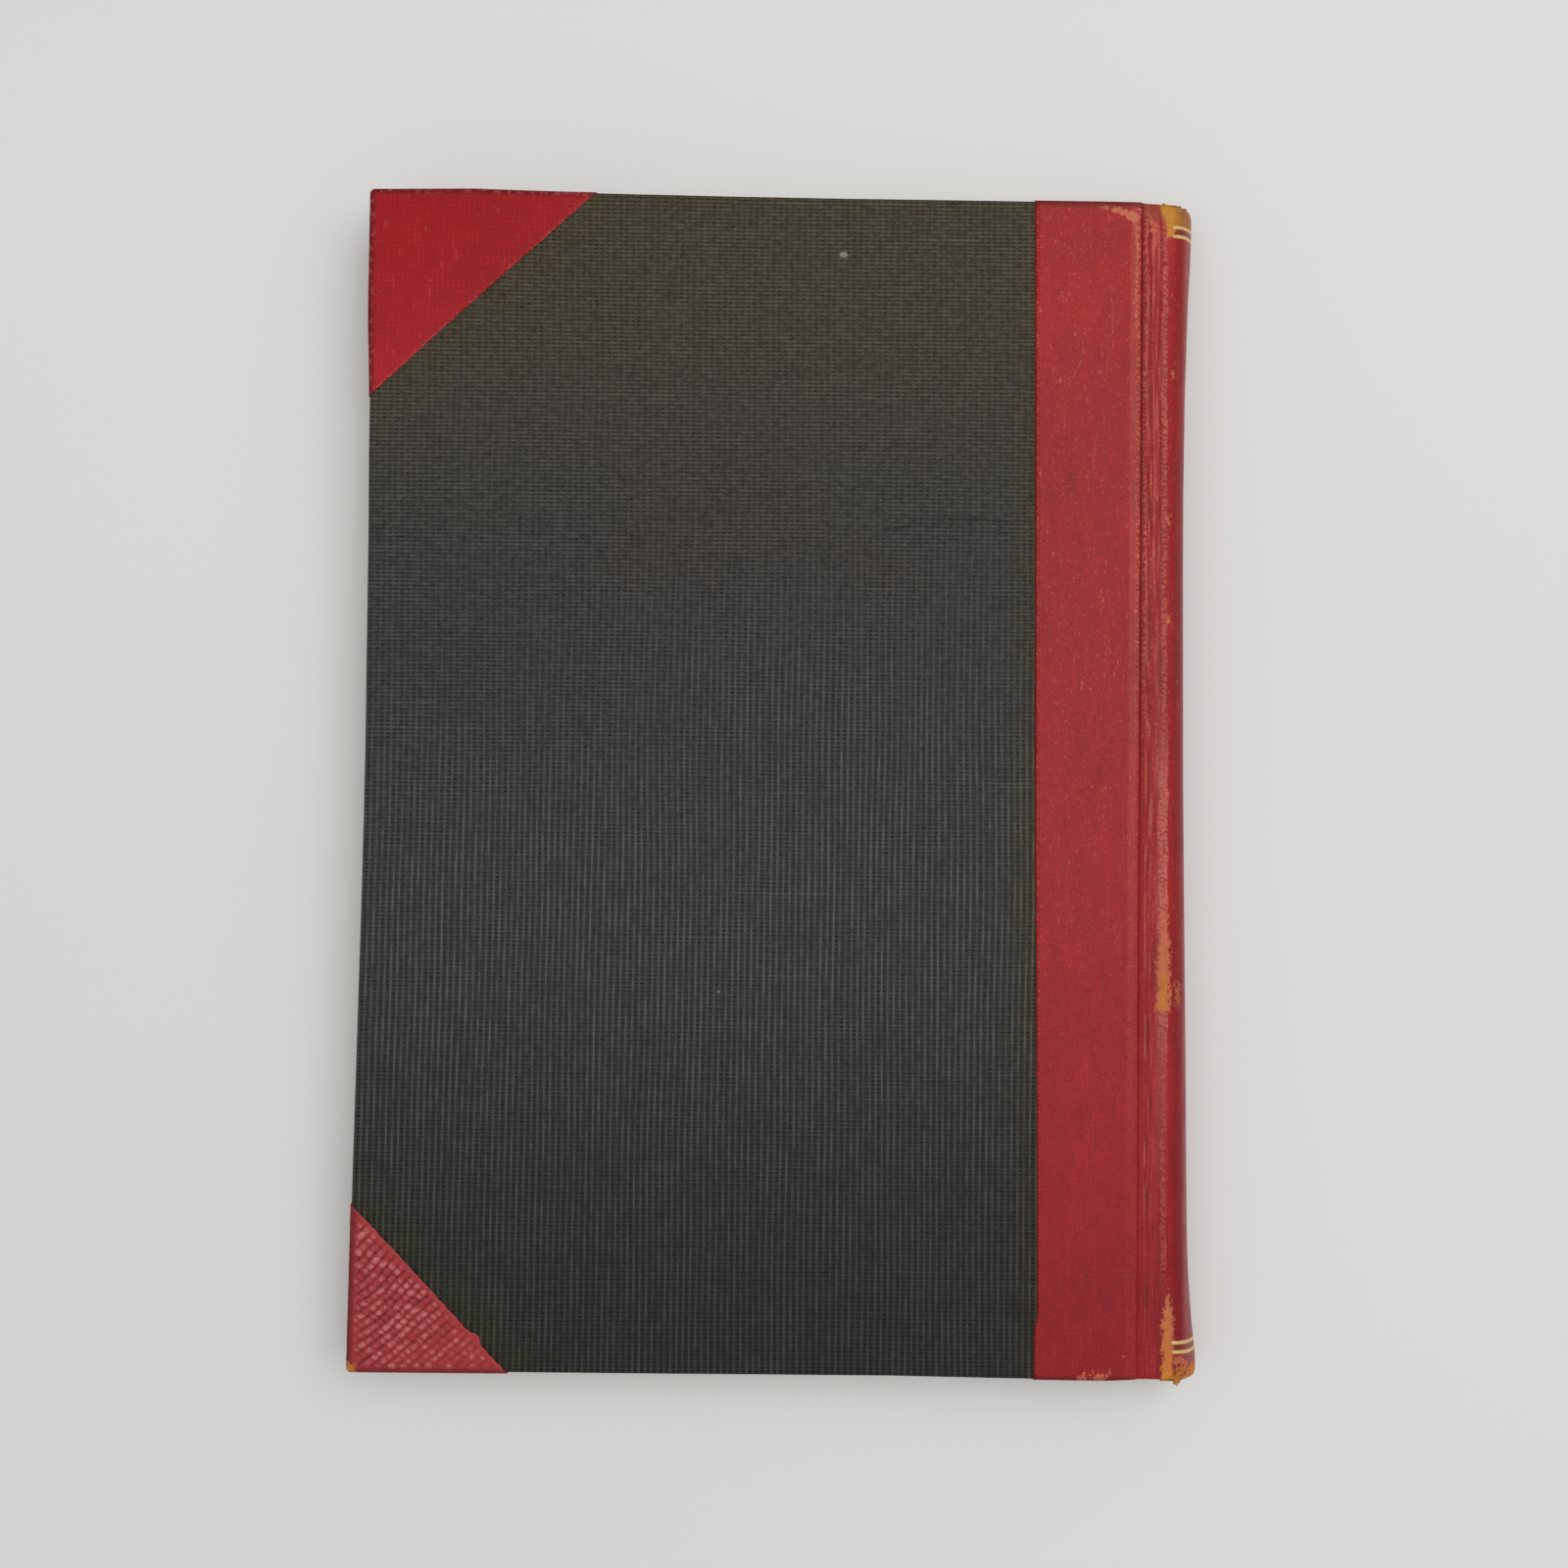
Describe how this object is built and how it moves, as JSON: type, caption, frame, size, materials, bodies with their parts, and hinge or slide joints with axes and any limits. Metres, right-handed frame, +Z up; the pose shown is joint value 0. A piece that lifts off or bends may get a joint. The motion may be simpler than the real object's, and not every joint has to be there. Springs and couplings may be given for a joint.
{
  "type": "hardback book",
  "caption": "Closed half-bound hardback book with cloth sides, leather spine and corners, gilt lines on the spine, and covers that open on flexible joints.",
  "frame": {"origin": "centre of the bounding box on the face that it rests on, the front cover", "axes": "+X from the fore-edge to the spine, +Y from the tail to the head, +Z up from the front cover to the back cover"},
  "size_m": [0.1588, 0.222, 0.014],
  "materials": {
    "page_paper": "matte",
    "endpaper": "matte",
    "infill_paper": "matte",
    "mull": "matte",
    "card": "matte",
    "tape": "matte",
    "end_band": "matte",
    "pasteboard": "matte",
    "side_cloth": "matte",
    "corner_leather": "satin",
    "spine_leather": "satin",
    "gilt": "satin"
  },
  "bodies": {
    "book_block": {"text_block": "page_paper", "back_flyleaf": "endpaper", "front_flyleaf": "endpaper", "sewing_tape_1": "tape", "sewing_tape_2": "tape", "sewing_tape_3": "tape", "spine_lining": "mull", "spine_inlay": "card", "spine_leather": "spine_leather", "head_gilt_line_outer": "gilt", "head_gilt_line_inner": "gilt", "tail_gilt_line_outer": "gilt", "tail_gilt_line_inner": "gilt", "head_band": "end_band", "tail_band": "end_band"},
    "back_cover": {"back_board": "pasteboard", "back_cloth_side": "side_cloth", "back_head_corner": "corner_leather", "back_tail_corner": "corner_leather", "back_spine_siding": "spine_leather", "back_mull_flange": "mull", "back_infill": "infill_paper", "back_pastedown": "endpaper"},
    "front_cover": {"front_board": "pasteboard", "front_cloth_side": "side_cloth", "front_head_corner": "corner_leather", "front_tail_corner": "corner_leather", "front_spine_siding": "spine_leather", "front_mull_flange": "mull", "front_infill": "infill_paper", "front_pastedown": "endpaper"}
  },
  "joints": [
    {"name": "back_cover_hinge", "type": "hinge", "parent": "book_block", "child": "back_cover", "pos_m": [0.07315, 0, 0.01252], "axis": [0, 1, 0], "range_deg": [0, 179]},
    {"name": "front_cover_hinge", "type": "hinge", "parent": "book_block", "child": "front_cover", "pos_m": [0.07315, 0, 0.00147], "axis": [0, -1, 0], "range_deg": [0, 179]}
  ]
}
